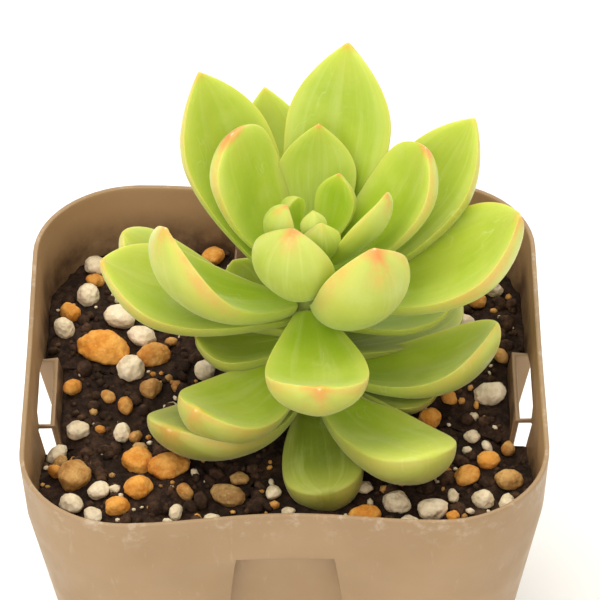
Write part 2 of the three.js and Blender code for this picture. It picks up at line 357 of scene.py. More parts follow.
def pot_outline(u, z, inset=0.0, notch=0.0, spare=0.0):
    side, v = int(u) % 4, u - math.floor(u)
    half = half_width(z) - inset
    radius = max(CORNER - CORNER_LOSS * (TALL - z) - inset, 1.0)
    straight, panel = half - radius, recess_half(z) + spare
    reach = abs(v - 0.5)
    sign = -1 if v < 0.5 else 1
    corner_start = 0.5 - CORNER_SHARE
    if reach > corner_start:
        turn = (reach - corner_start) * math.pi
        along = sign * (straight + radius * math.sin(turn))
        out = straight + radius * math.cos(turn)
    else:
        on_panel = reach <= PANEL_SHARE + HAIR
        if on_panel:
            along = sign * panel * reach / PANEL_SHARE
        else:
            along = sign * (panel + (straight - panel) * (reach - PANEL_SHARE) / FLANK_SHARE)
        out = half - (notch if on_panel else 0.0)
        sag = (SIDE_BOW if side % 2 == 0 else BOW) * (min(max(z, 0.0), TALL) / TALL) ** 2
        out -= sag * math.cos(math.pi / 2 * along / straight) ** 2
    a = side * math.pi / 2
    return Vector((out * math.cos(a) - along * math.sin(a), out * math.sin(a) + along * math.cos(a), z))


# %% [markdown]
# ## Pot plastic
# Taupe polypropylene: even in colour, softly shining, with the faint ripple that a mould leaves.
# Handling leaves pale scuffs on the collar and a thin film of dust, so both are painted in very lightly.
# The inside is a second finish of the same plastic: painted a little lighter, as painted light in the shaded
# pot, and darker toward the bottom, partly a wet soil stain and partly painted shade.

# %% Pot plastic
def make_plastic(name, inside):
    finish = Finish(name, 0.46, 0.42)
    cloud = finish.ramp(finish.grain(60.0, 3.0), 0.32, 0.68)
    colour = finish.mix(cloud, tint(153, 123, 87), tint(161, 131, 95))
    height = finish.nodes.new("ShaderNodeSeparateXYZ")
    finish.links.new(finish.place, height.inputs["Vector"])
    near_rim = finish.ramp(height.outputs["Z"], 0.054, 0.0602)
    dust = finish.times(near_rim, finish.ramp(finish.grain(420.0, 5.0, 0.7), 0.50, 0.72))
    colour = finish.mix(finish.times(dust, 0.35), colour, tint(222, 206, 186))
    scuff = finish.ramp(finish.grain(1.0, 3.0, 0.6, finish.stretched((900, 900, 160))), 0.62, 0.74)
    colour = finish.mix(finish.times(scuff, 0.09), colour, tint(224, 208, 188))
    rough = finish.ramp(finish.grain(260.0, 4.0), 0.3, 0.7, 0.40, 0.56)
    ripple = finish.bump(finish.grain(95.0, 2.0), 0.25, 0.5)
    peel = finish.bump(finish.grain(1900.0, 2.0), 0.18, 0.06, ripple)
    if inside:
        # Painted light: the inside is painted a little lighter than the outside, to stand in for light
        # inside the shaded pot.
        colour = finish.mix(0.85, colour, tint(190, 151, 109))
        # Darker toward the soil line: partly a wet soil stain, partly painted shade deep inside the pot.
        soil_stain_and_painted_shade = finish.ramp(height.outputs["Z"], 0.0575, 0.0500)
        smear = finish.ramp(finish.grain(190.0, 5.0, 0.65), 0.30, 0.70, 0.45, 1.0)
        colour = finish.mix(finish.times(soil_stain_and_painted_shade, smear), colour, tint(74, 50, 34))
    return finish.wear(Base_Color=colour, Roughness=rough, Normal=peel)


plastic, inside_plastic_painted_light = make_plastic("taupe_plastic", False), make_plastic("taupe_plastic_inside_painted_light", True)
print("materials", plastic.name, inside_plastic_painted_light.name)

# %% [markdown]
# ## The pot's wall
# A moulded pot is one thin sheet, so it is modelled as one: a ring is drawn at the foot and extruded
# upward level by level, each ring moved onto the outline. The recess is an area of faces extruded inward.
# Taking away the top of that step opens the slot, and taking away part of its sides opens the slits.
# The front and back walls have a slit on each side of the recess, the side walls only toward the front.
# A Solidify modifier then gives the sheet its wall, and a Bevel softens every moulded edge.

# %% The pot's wall
ARC, FLANK, PANEL = 7, 4, 6
FACES_OUT = 0.6
NEAR_LEVEL = 0.05
WALL_LEVELS = (2, 8, 15, 22, 29, 36, 42, LEDGE - RIB - SLIT, LEDGE - RIB, LEDGE, 54, 56, 58, 59.3, TALL)


def column_marks():
    ends = (0.0, CORNER_SHARE, 0.5 - PANEL_SHARE, 0.5 + PANEL_SHARE, 1 - CORNER_SHARE, 1.0)
    marks = []
    for side in range(4):
        for low, high, steps in zip(ends, ends[1:], (ARC, FLANK, PANEL, FLANK, ARC)):
            marks += [side + low + (high - low) * k / steps for k in range(steps)]
    return marks


def make_wall():
    marks = column_marks()
    bm = bmesh.new()
    column = bm.verts.layers.int.new("column")
    ring = bmesh.ops.create_circle(bm, segments=len(marks), radius=RIM / 2)["verts"]
    ring.sort(key=turn_from_corner)
    for number, vert in enumerate(ring):
        vert[column] = number
        vert.co = pot_outline(marks[number], 0.0)
    edges = list(bm.edges)
    for level in WALL_LEVELS:
        made = bmesh.ops.extrude_edge_only(bm, edges=edges)["geom"]
        for vert in new_verts(made):
            vert.co = pot_outline(marks[vert[column]], level)
        edges = ring_at(made, level)
    bmesh.ops.recalc_face_normals(bm, faces=bm.faces)
    if sum(f.normal.dot(f.calc_center_median()) for f in bm.faces) < 0:
        bmesh.ops.reverse_faces(bm, faces=bm.faces)
    return bm, marks, column


def set_back_recesses(bm, marks, column):
    for side in range(4):
        out = Vector((math.cos(side * math.pi / 2), math.sin(side * math.pi / 2), 0))

        def on_panel(face):
            shares = [marks[v[column]] - side for v in face.verts]
            inside = all(abs(s - 0.5) < PANEL_SHARE + 0.001 for s in shares)
            return inside and max(v.co.z for v in face.verts) < LEDGE + 0.01

        panel = [f for f in bm.faces if on_panel(f)]
        made = bmesh.ops.extrude_face_region(bm, geom=panel)["geom"]
        bmesh.ops.translate(bm, verts=new_verts(made), vec=-out * RECESS)
        left = [f for f in panel if f.is_valid]
        if left:
            bmesh.ops.delete(bm, geom=left, context="FACES_ONLY")
        across = Vector((-out.y, out.x, 0))
        open_faces = []
        for face in bm.faces:
            middle = face.calc_center_median()
            on_side = middle.dot(out) > BASE / 2 - RECESS - 1
            near = abs(middle.dot(across)) < recess_half(middle.z) + 0.2
            if not (on_side and near) or abs(face.normal.dot(out)) > FACES_OUT:
                continue
            ledge = abs(middle.z - LEDGE) < NEAR_LEVEL
            slit = LEDGE - RIB - SLIT < middle.z < LEDGE - RIB
            if side % 2 == 0 and middle.y > 0:
                slit = False
            under = middle.z < NEAR_LEVEL
            if ledge or slit or under:
                open_faces.append(face)
        bmesh.ops.delete(bm, geom=open_faces, context="FACES")


sheet, marks, column = make_wall()
set_back_recesses(sheet, marks, column)
wall = finish_piece("pot_wall", sheet, plastic, ("pot",))
thick = wall.modifiers.new("wall", "SOLIDIFY")
thick.thickness = WALL * MM
thick.offset = -1.0
thick.use_even_offset = True
wall.data.materials.append(inside_plastic_painted_light)
thick.material_offset = 1
soft = wall.modifiers.new("edges", "BEVEL")
soft.width = 0.22 * MM
soft.segments = 2
soft.limit_method = "ANGLE"
soft.angle_limit = math.radians(40)
print("wall faces", len(wall.data.polygons))

# %% [markdown]
# ## The pot's floor
# The floor is a flat plate a little above the foot. A fan of faces is drawn from its middle to a ring,
# then out to the walls. Cutting the corner off a vertex leaves a round face there, and removing that
# face is a quick way to a drain hole.

# %% The pot's floor
HOLE, SMALL_HOLE, SMALL_HOLES, HOLE_RING = 9.0, 3.4, 8, 15.0


def make_pot_floor():
    bm = bmesh.new()
    column = bm.verts.layers.int.new("column")
    count = len(marks)
    disc = bmesh.ops.create_circle(bm, cap_ends=True, cap_tris=True, segments=count, radius=HOLE_RING)
    ring = disc["verts"]
    level = FOOT + FLOOR
    bmesh.ops.translate(bm, verts=ring, vec=(0, 0, level))
    order = [v for v in ring if v.co.xy.length > 1.0]
    order.sort(key=turn_from_corner)
    for number, vert in enumerate(order):
        vert[column] = number
    rim = [e for e in bm.edges if e.is_boundary]
    made = bmesh.ops.extrude_edge_only(bm, edges=rim)["geom"]
    for vert in new_verts(made):
        vert.co = pot_outline(marks[vert[column]], level, WALL / 2, RECESS, 0.4)
    holes = []
    for number in range(SMALL_HOLES):
        a = (number + 0.5) / SMALL_HOLES * 2 * math.pi
        spot = Vector((HOLE_RING * math.cos(a), HOLE_RING * math.sin(a), level))
        holes.append(min(order, key=lambda v: (v.co - spot).length))
    middle = [v for v in bm.verts if v.co.xy.length < 0.1]
    for verts, size in ((middle, HOLE), (holes, SMALL_HOLE)):
        cut = bmesh.ops.bevel(bm, geom=verts, offset=size / 2, segments=5, profile=0.5,
                              affect="VERTICES", material=-1)
        bmesh.ops.delete(bm, geom=cut["faces"], context="FACES_ONLY")
    bmesh.ops.recalc_face_normals(bm, faces=bm.faces)
    if sum(f.normal.z for f in bm.faces) < 0:
        bmesh.ops.reverse_faces(bm, faces=bm.faces)
    return bm


pot_floor = finish_piece("pot_floor", make_pot_floor(), plastic, (), smooth=False)
thick = pot_floor.modifiers.new("plate", "SOLIDIFY")
thick.thickness = FLOOR * MM
thick.offset = -1.0
print("floor faces", len(pot_floor.data.polygons))

# %% [markdown]
# ## Soil
# A dark mix of peat and bark, never flat. A square grid is bent to the pot's outline, lifted by a gentle
# mound and by three sizes of noise, then closed with sides and a bottom so that it is a solid body.

# %% Soil
SOIL = 50.0
SOIL_GRID = 150
SOIL_LEVELS = (44.0, 34.0, 24.0, 14.0, FOOT + FLOOR + 0.02)
AXIS = Vector((3.8, 2.0, 0.0))


def soil_height(x, y):
    away = math.hypot(x - AXIS.x, y - AXIS.y)
    mound = 0.9 * math.exp(-((away / 13) ** 2))
    ripple = 0.35 * math.sin(x * 0.31 + 1.1) * math.cos(y * 0.27 - 0.4)
    washed = 2.3 * math.exp(-(((abs(x) - 31.0) / 4.0) ** 2) - ((y + 9.0) / 3.6) ** 2)
    return SOIL + mound + ripple - washed + 0.25 * math.sin(x * 0.11 - y * 0.17)


def soil_crumble(x, y):
    clods = noise.noise(Vector((x * 0.22, y * 0.22, 3.1)))
    crumbs = noise.noise(Vector((x * 0.62, y * 0.62, 7.7)))
    fine = noise.noise(Vector((x * 1.7, y * 1.7, 1.3)))
    return 0.55 * clods + 0.55 * crumbs + 0.28 * fine - 0.35


def surface(x, y):
    return soil_height(x, y) + soil_crumble(x, y)


def soil_wall(u, z):
    return pot_outline(u, z, WALL + 0.05, RECESS + 0.1, 1.1)


# %% [markdown]
# A point of the grid keeps its share of the way to the edge, and its turn round the pot is stored on the
# vertex, so that the sides can follow the wall level by level all the way down to the floor.

# %% Soil body
def make_soil():
    bm = bmesh.new()
    round_layer = bm.verts.layers.float.new("round")
    bmesh.ops.create_grid(bm, x_segments=SOIL_GRID, y_segments=SOIL_GRID, size=1.0)
    for vert in bm.verts:
        a, b = vert.co.x, vert.co.y
        m = max(abs(a), abs(b))
        if m < 1e-6:
            place = Vector((0, 0, 0))
        else:
            turns = ((a, b), (b, -a), (-a, -b), (-b, a))
            side = max(range(4), key=lambda k: turns[k][0])
            u = side + min(max((turns[side][1] / m + 1) / 2, 0.0), 0.99999)
            vert[round_layer] = u
            place = soil_wall(u, SOIL) * m
        vert.co = (place.x, place.y, surface(place.x, place.y))
        vert.co.z -= 0.4 * ease(0.955, 1.0, m)
    edges = [e for e in bm.edges if e.is_boundary]
    for level in SOIL_LEVELS:
        made = bmesh.ops.extrude_edge_only(bm, edges=edges)["geom"]
        for vert in new_verts(made):
            vert.co = soil_wall(vert[round_layer], level)
        edges = ring_at(made, level)
    bmesh.ops.edgeloop_fill(bm, edges=edges)
    bmesh.ops.recalc_face_normals(bm, faces=bm.faces)
    return bm


def make_earth(name, dark, pale, bump):
    finish = Finish(name, 0.95, 0.15)
    crumb = finish.ramp(finish.grain(700.0, 6.0, 0.7), 0.35, 0.70)
    patch = finish.ramp(finish.grain(170.0, 4.0, 0.6), 0.38, 0.66)
    colour = finish.mix(crumb, dark, pale)
    colour = finish.mix(finish.times(patch, 0.6), colour, tint(30, 22, 17))
    speck = finish.ramp(finish.grain(1900.0, 3.0, 0.6), 0.66, 0.74)
    colour = finish.mix(finish.times(speck, 0.5), colour, tint(120, 92, 66))
    rough = finish.bump(finish.grain(900.0, 6.0, 0.7), 0.8, bump)
    return finish.wear(Base_Color=colour, Normal=rough)


earth = make_earth("peat_mix", tint(40, 29, 23), tint(84, 61, 46), 0.8)
soil = finish_piece("soil_bed", make_soil(), earth, ("soil",))
print("soil faces", len(soil.data.polygons))

# %% [markdown]
# ## Leaves
# Each leaf is a thick, pointed tongue: slightly hollow above, full below with a soft keel, narrow where
# it joins the stem. It starts as a sphere whose poles become the leaf's base and tip, and every vertex
# is moved onto the leaf's form, as a sculptor would pull one lump of clay into shape.
# A few numbers are stored on each vertex for the material: how far along the leaf it is, how far across,
# which face it is on, how old the leaf is together with painted shade and light set leaf by leaf, how orange
# its margin (flush) and its tip (blush) have turned, and a number that differs from leaf to leaf.

# %% The leaf's form
STEM_REACH = 2.6
CUP = 0.10
SPINE_STEPS = 80
BEND_POWER = 1.3
SOFT_START, CLOSED_END, TIP_CROWD = 0.05, 0.07, 1.3
LEAF_LAYERS = ("along", "across", "face", "age_and_painted_shade", "flush", "blush", "leaf")


def leaf_peak(blunt):
    return 0.62 + 0.10 * blunt


def leaf_width(t, blunt):
    peak = leaf_peak(blunt)
    if t < peak:
        return 0.34 + 0.66 * math.sin(math.pi / 2 * t / peak) ** 1.15
    u = min((t - peak) / (1 - peak), 1.0)
    return max(1 - u ** (1.9 + 0.9 * blunt), 0.0) ** (1.0 - 0.42 * blunt)


def leaf_belly(t, blunt):
    peak = leaf_peak(blunt)
    if t < peak:
        return 0.45 + 0.55 * math.sin(math.pi / 2 * t / peak)
    u = min((t - peak) / (1 - peak), 1.0)
    return max(1 - u ** (1.8 + 0.6 * blunt), 0.0) ** (0.8 - 0.3 * blunt)


def leaf_spine(lift, curl, length):
    points = [(0.0, 0.0)]
    for k in range(SPINE_STEPS):
        a = math.radians(lift + curl * ((k + 0.5) / SPINE_STEPS) ** BEND_POWER)
        x, z = points[-1]
        points.append((x + math.cos(a) * length / SPINE_STEPS, z + math.sin(a) * length / SPINE_STEPS))
    return points


# %% [markdown]
# The cross-section is a half ellipse below, which turns into a keel toward a pointed tip, and a shallow
# trough above. A little slow noise keeps any two leaves from being the same.

# %% One leaf
def leaf_section(t, across, up, width, thick, blunt, number):
    sway = noise.noise(Vector((t * 2.2, across * 1.3, number * 3.7)))
    ridge = noise.noise(Vector((across * 3.2, t * 0.9, number * 5.3)))
    if up < 0:
        keel = 0.55 * (1 - blunt) * max((t - 0.45) / 0.55, 0.0) ** 2
        rounded = (1 - keel) * abs(up) ** 0.9 + keel * (1 - abs(across)) ** 0.9
        height = -thick * leaf_belly(t, blunt) * rounded
        return height - 0.22 * sway * abs(up)
    hollow = 1 - 1.3 * max(blunt - 0.5, 0.0) * ease(0.2, 0.9, t)
    trough = (-CUP * width * math.sin(math.pi * t) * hollow + 0.08 * thick) * up * up
    trough += 0.40 * thick * max(blunt - 0.5, 0.0) * leaf_belly(t, blunt) * ease(0.35, 0.8, t) * up
    fold = -0.028 * width * math.sin(math.pi * min(t * 1.1, 1.0)) * (1 - abs(across)) ** 2
    return trough + fold + (0.20 * sway + 0.16 * ridge * math.sin(math.pi * t)) * up


def make_leaf(number, row):
    bearing, rise, lift, curl, length, width, thick, roll, blunt, age_and_painted_shade, flush, blush = row
    spine = leaf_spine(lift, curl, length)
    rolled, tilted = math.cos(math.radians(roll)), math.sin(math.radians(roll))
    bm = bmesh.new()
    layers = [bm.verts.layers.float.new(name) for name in LEAF_LAYERS]
    bmesh.ops.create_uvsphere(bm, u_segments=32, v_segments=24, radius=1.0)
    bmesh.ops.rotate(bm, verts=bm.verts, cent=(0, 0, 0), matrix=Matrix.Rotation(math.pi / 2, 3, "Y"))
    for vert in bm.verts:
        polar = math.acos(min(max(-vert.co.x, -1.0), 1.0)) / math.pi
        ring = math.hypot(vert.co.y, vert.co.z)
        across, up = (vert.co.y / ring, vert.co.z / ring) if ring > 1e-5 else (0.0, 0.0)
        walk = max((polar - SOFT_START) / (1 - SOFT_START), 0.0)
        t = 1 - (1 - walk) ** TIP_CROWD
        closing = math.sqrt(max(1 - (1 - min(polar / CLOSED_END, 1.0)) ** 2, 0.0))
        slope = math.radians(lift + curl * t ** BEND_POWER)
        k = min(int(t * SPINE_STEPS), SPINE_STEPS - 1)
        f = t * SPINE_STEPS - k
        x = spine[k][0] + (spine[k + 1][0] - spine[k][0]) * f
        z = spine[k][1] + (spine[k + 1][1] - spine[k][1]) * f
        wide = width / 2 * leaf_width(t, blunt) * across * closing
        high = leaf_section(t, across, up, width, thick, blunt, number) * closing
        high += 0.014 * width * math.sin(t * 7 + number * 2.1) * across * abs(across)
        side, height = wide * rolled - high * tilted, wide * tilted + high * rolled
        vert.co = (STEM_REACH + x - height * math.sin(slope), side, z + height * math.cos(slope))
        for layer, value in zip(layers, (t, across, up, age_and_painted_shade, flush, blush, number)):
            vert[layer] = value
    turn = Matrix.Rotation(math.radians(bearing), 3, "Z")
    bmesh.ops.rotate(bm, verts=bm.verts, cent=(0, 0, 0), matrix=turn)
    bmesh.ops.translate(bm, verts=bm.verts, vec=(AXIS.x, AXIS.y, TALL + rise))
    bmesh.ops.recalc_face_normals(bm, faces=bm.faces)
    return bm


# %% [markdown]
# ## Leaf skin
# The skin is waxy and lets light in, so the shader has subsurface light and a faint sheen for the bloom.
# The upper face is a clear yellow green, deeper at the heart; the belly is paler. An orange flush lies
# along the margin and at the very tip. Old leaves near the soil are darker and more olive; the same mix,
# set leaf by leaf, is also painted shade and painted light, darker on some leaves and lighter on others.
# Pale bands that run along the leaf and a few rubbed marks keep the faces from looking moulded.
# Each function below takes the colour so far, lays its own layer over it and gives the result back.

# %% Green of the leaf
def green(finish, at):
    patch = finish.ramp(finish.grain(120.0, 4.0, 0.6), 0.34, 0.68)
    upper = finish.mix(patch, tint(173, 196, 46), tint(189, 205, 70))
    heart = finish.times(finish.ramp(at["along"], 0.60, 0.08), 0.60)
    upper = finish.mix(heart, upper, tint(152, 184, 28))
    lower = finish.mix(patch, tint(170, 184, 72), tint(184, 194, 90))
    base = finish.times(finish.ramp(at["along"], 0.55, 0.10), 0.5)
    lower = finish.mix(base, lower, tint(164, 184, 56))
    colour = finish.mix(at["above"], lower, upper)
    # Painted shade and light: the olive of old leaves is mixed in leaf by leaf, partly because a leaf is
    # old, partly to darken or lighten a leaf as light falls on it.
    shade = finish.mix(at["above"], tint(120, 128, 34), tint(128, 142, 40))
    return finish.mix(finish.times(at["age_and_painted_shade"], 0.9), colour, shade)


def pale_bands(finish, at, colour):
    across, along = at["across"], at["along"]
    broad = finish.joined(finish.times(across, 3.0), finish.times(along, 0.7), at["leaf"])
    pale = finish.ramp(finish.grain(1.6, 3.0, 0.55, broad), 0.48, 0.72)
    colour = finish.mix(finish.times(pale, 0.34), colour, tint(205, 214, 124))
    narrow = finish.joined(finish.times(across, 14.0), finish.times(along, 1.6), at["leaf"])
    fine = finish.ramp(finish.grain(2.2, 3.0, 0.6, narrow), 0.56, 0.76)
    colour = finish.mix(finish.times(fine, 0.12), colour, tint(216, 224, 150))
    end = finish.times(finish.ramp(along, 0.62, 1.0), 0.38)
    colour = finish.mix(end, colour, tint(204, 205, 96))
    edge = finish.times(finish.ramp(at["margin"], 0.55, 0.98), 0.40)
    return finish.mix(edge, colour, tint(206, 208, 108))


# %% [markdown]
# The orange of the margin is three layers: a wide faint halo on the side of the leaf, a broken line in
# it, and a thin line on the very rim. The orange of the tip is a wash, a stronger spot and a pale point.

# %% Orange of margin and tip
def orange_margin(finish, at, colour, blotch):
    face, flush = at["face"], at["flush"]
    outer = finish.ramp(at["along"], 0.34, 0.86)
    side_band = finish.times(finish.ramp(face, -0.85, -0.22), finish.ramp(face, 0.10, -0.12))
    halo = finish.times(side_band, outer, flush, 0.6)
    colour = finish.mix(halo, colour, tint(206, 186, 70))
    line = finish.times(finish.ramp(face, -0.50, -0.16), finish.ramp(face, 0.14, -0.04), outer, blotch)
    line = finish.times(line, finish.times(flush, 0.7))
    colour = finish.mix(line, colour, tint(218, 146, 70))
    rim_line = finish.times(finish.ramp(at["margin"], 0.90, 1.0), finish.ramp(at["along"], 0.30, 0.7))
    rim_line = finish.times(rim_line, finish.times(flush, 0.5))
    return finish.mix(rim_line, colour, tint(222, 176, 108))


def orange_tip(finish, at, colour, blotch):
    along, blush = at["along"], at["blush"]
    wash = finish.times(finish.ramp(along, 0.80, 0.99), finish.sum("ADD", blotch, 0.35))
    wash = finish.times(wash, finish.sum("ADD", finish.times(at["below"], 0.50), 0.10))
    wash = finish.times(wash, finish.ramp(at["margin"], 0.80, 0.15), blush)
    colour = finish.mix(wash, colour, tint(222, 142, 72))
    spot = finish.times(finish.ramp(along, 0.945, 0.993), blush, 0.75)
    colour = finish.mix(spot, colour, tint(218, 124, 70))
    point = finish.times(finish.ramp(along, 0.9955, 0.999), finish.ramp(blush, 0.15, 0.6), 0.8)
    return finish.mix(point, colour, tint(246, 214, 176))


# %% [markdown]
# Rubbed marks follow the places where a slow noise crosses its middle value, which draws thin wandering
# lines. The bloom is a pale dust, and the freckles are small orange dots toward the tip.

# %% Wear of the leaf
def leaf_wear(finish, at, colour):
    way = finish.joined(finish.times(at["along"], 2.0), finish.times(at["across"], 1.2), at["leaf"])
    off = finish.sum("ABSOLUTE", finish.sum("SUBTRACT", finish.grain(1.9, 2.0, 0.5, way), 0.5), 0.0)
    rubbed = finish.ramp(off, 0.012, 0.0)
    some = finish.ramp(finish.grain(110.0, 2.0), 0.54, 0.66)
    colour = finish.mix(finish.times(rubbed, some, 0.19), colour, tint(226, 236, 182))
    bloom = finish.times(finish.ramp(finish.grain(230.0, 5.0, 0.7), 0.50, 0.78), 0.16)
    colour = finish.mix(bloom, colour, tint(208, 218, 150))
    freckle = finish.ramp(finish.grain(2300.0, 2.0), 0.70, 0.80)
    freckle = finish.times(freckle, finish.ramp(at["along"], 0.5, 1.0), 0.35)
    return finish.mix(freckle, colour, tint(214, 130, 66))


# %% Leaf skin
SKIN = {
    "Subsurface Weight": 0.45,
    "Subsurface Scale": 0.0042,
    "Subsurface Radius": (0.80, 1.0, 0.20),
    "Sheen Weight": 0.22,
    "Sheen Roughness": 0.35,
    "Sheen Tint": (1.0, 1.0, 0.82, 1.0),
    "Coat Weight": 0.05,
    "Coat Roughness": 0.3,
}


def make_skin():
    finish = Finish("leaf_skin", 0.42, 0.36)
    at = {name: finish.attribute(name) for name in LEAF_LAYERS}
    at["margin"] = finish.sum("ABSOLUTE", at["across"], 0.0)
    at["above"] = finish.ramp(at["face"], -0.05, 0.09)
    at["below"] = finish.sum("SUBTRACT", 1.0, at["above"])
    blotch = finish.ramp(finish.grain(480.0, 4.0, 0.65), 0.34, 0.64)
    colour = pale_bands(finish, at, green(finish, at))
    colour = orange_margin(finish, at, colour, blotch)
    colour = orange_tip(finish, at, colour, blotch)
    colour = leaf_wear(finish, at, colour)
    rough = finish.ramp(finish.grain(300.0, 4.0, 0.6), 0.3, 0.7, 0.36, 0.52)
    swell = finish.bump(finish.grain(210.0, 3.0), 0.25, 0.40)
    pores = finish.bump(finish.grain(2600.0, 2.0), 0.12, 0.05, swell)
    for name, value in SKIN.items():
        finish.shader.inputs[name].default_value = value
    return finish.wear(Base_Color=colour, Roughness=rough, Normal=pores)


skin = make_skin()
print("material", skin.name)

# %% [markdown]
# ## The rosette
# Each new leaf of a rosette grows about 137 degrees round from the last, so neighbours never shadow each
# other. The rows go from the youngest leaf in the middle to the oldest on the soil. They give the bearing,
# the height of the base above the rim, the lift, the extra lift toward the tip, the length, width and
# thickness, the roll about its own length, how blunt the end is, how old the leaf is together with painted
# shade and light, and how orange the margin and the tip have turned. A fitting program found the angles
# and sizes of most leaves. Only the rows of leaves 24, 25, 26, 29 and 30 were chosen from the start.

# %% The rosette
LEAVES = (
    (277.9, 18.9, 73, 38, 5.5, 3.6, 2.4, 0, 0.1, 0.0, 0.03, 0.1),
    (286.2, 16.3, 57.9, 30.9, 8.4, 5.4, 2.6, -8, 0.1, 0.0, 0.12, 0.3),
    (129.2, 16.5, 81, 12.6, 6, 3.6, 2.4, 6, 0.1, 0.0, 0.05, 0.1),
    (202.4, 16.3, 66.9, 42.2, 8, 5.7, 2.8, 7, 0.1, 0.0, 0.2, 0.95),
    (54.8, 14, 57.4, 22.3, 10.8, 6, 2.8, 1.5, 0.0, 0.0, 0.15, 0.9),
    (336.8, 14.7, 58.9, -0.7, 16.2, 9.1, 3, -10, 0.0, 0.0, 0.2, 0.9),
    (84.5, 12, 45.6, 21, 18, 10.8, 3.8, 4.7, 0.0, 0.22, 0.25, 0.9),
    (253.8, 12.8, 38.2, 71, 13.8, 11.7, 4.7, -9.7, 0.35, 0.0, 0.12, 0.95),
    (16.5, 11.6, 43.5, 20.6, 22.1, 13.4, 4.3, 4, 0.45, 0.08, 0.4, 0.9),
    (147, 11.5, 57.4, 12.4, 20.9, 14.4, 3.7, 4.7, 0.9, 0.0, 0.45, 0.9),
    (305, 7.7, 41.3, 34, 21.7, 12.8, 6, -9.7, 0.35, 0.0, 0.55, 0.95),
    (75.5, 9.7, 45.2, 16.9, 31.1, 15, 4.6, -4, 0.0, 0.15, 0.25, 0.7),
    (200, 7.3, 21.2, 56.1, 26.2, 14.2, 5, 8.1, 0.25, 0.0, 0.75, 0.55),
    (-0.8, 8.1, 13.9, 31.1, 28.9, 16, 5.7, 4.3, 0.35, 0.0, 0.65, 0.5),
    (133.9, 7.7, 46.9, 17.5, 32.2, 14.9, 4.8, 2.2, 0.05, 0.05, 0.4, 0.5),
    (32.7, 7, 29.6, 20.6, 30.8, 13.7, 5.1, 1.5, 0.1, 0.15, 0.3, 0.25),
    (272.1, 6.6, 5.1, 26.4, 24.5, 13.8, 5.7, -2.1, 0.45, 0.0, 0.45, 0.6),
    (182.5, 5, 11.9, 21, 27.6, 14.2, 5, -5.7, 0.25, 0.2, 0.4, 0.5),
    (102.6, 5, 24.6, 19.4, 30.7, 13.4, 5, 0, 0.0, 0.4, 0.3, 0.3),
    (349.7, -5, 4.1, 48.5, 26, 13.2, 4.7, -7.4, 0.25, 0.05, 0.35, 0.2),
    (164.5, 1.5, 13.3, 28.4, 26.8, 10.6, 4.5, 1.6, 0.7, 0.35, 0.3, 0.2),
    (232.2, -1.6, -3.9, 44.9, 24, 12.7, 5.1, -3.3, 0.6, 0.1, 0.4, 0.45),
    (15.6, 2.7, 0, 16.5, 18.6, 12, 3.6, 0, 0.3, 0.2, 0.1, 0.1),
    (57, 1.5, 4, 22, 24, 13, 5, 0, 0.3, 0.5, 0.2, 0.2),
    (132, 0.5, 4, 20, 14, 11, 4.6, 0, 0.3, 0.6, 0.2, 0.2),
    (188, 0, 2, 10, 13.5, 9.5, 4, 0, 0.3, 0.6, 0.1, 0.1),
    (303, -6.6, 5, 20, 27.5, 13.4, 5.4, -11, 0.9, 0.1, 0.15, 0.05),
    (224.2, -6.7, 3.5, 28, 25.2, 16.5, 4.6, 13, 0.8, 0.8, 0.3, 0.35),
    (88, -2.5, -10, 10, 22, 12.5, 5, 0, 0.5, 0.8, 0.2, 0.2),
    (33, -3, -8, 10, 22, 12.5, 5, 0, 0.5, 0.8, 0.2, 0.2),
    (273.9, -8.1, 0.7, 7.1, 22.1, 11, 6.2, 6, 0.8, 1.0, 0.1, 0.05),
    (344.2, -6.4, 0.9, -4.7, 15.1, 8.8, 3.4, -1.9, 0.5, 1.0, 0.05, 0.05),
)

LOW = SOIL + 4.0

low_points = []
for number, row in enumerate(LEAVES, 1):
    label = f"leaf_{number:02d}"
    blade = make_leaf(number, row)
    low_points += [v.co.copy() for v in blade.verts if v.co.z < LOW]
    leaf = finish_piece(f"leaf_blade_{number:02d}", blade, skin, (label,))
    smoother(leaf, 1)
print("leaves", len(LEAVES))

# %% [markdown]
# ## Stem
# A short fleshy stem, scarred where older leaves came away. Its profile is spun round the axis, and the
# scars are small swellings moved into the surface.

# %% Stem
STEM_PROFILE = ((2.5, 44.0), (2.5, 48.0), (2.4, 52.0), (2.1, 62.0), (1.7, 72.0), (1.3, 77.0), (0.7, 79.4))


def make_stem():
    bm = bmesh.new()
    verts = [bm.verts.new((radius, 0, z)) for radius, z in STEM_PROFILE]
    edges = [bm.edges.new(pair) for pair in zip(verts, verts[1:])]
    bmesh.ops.subdivide_edges(bm, edges=edges, cuts=4)
    bmesh.ops.spin(bm, geom=list(bm.verts) + list(bm.edges), cent=(0, 0, 0), axis=(0, 0, 1),
                   angle=2 * math.pi, steps=28, use_merge=True)
    bmesh.ops.remove_doubles(bm, verts=bm.verts, dist=0.001)
    for low in (True, False):
        loop = [e for e in bm.edges if e.is_boundary and (e.verts[0].co.z < 60) == low]
        if loop:
            bmesh.ops.edgeloop_fill(bm, edges=loop)
    for vert in bm.verts:
        a = math.atan2(vert.co.y, vert.co.x)
        scar = 0.10 * math.sin(5 * a + vert.co.z * 2.2) * math.sin(vert.co.z * 1.7)
        grow = 1 + scar + 0.06 * noise.noise(vert.co * 0.8)
        vert.co.x *= grow
        vert.co.y *= grow
    bmesh.ops.translate(bm, verts=bm.verts, vec=(AXIS.x, AXIS.y, 0))
    bmesh.ops.recalc_face_normals(bm, faces=bm.faces)
    return bm


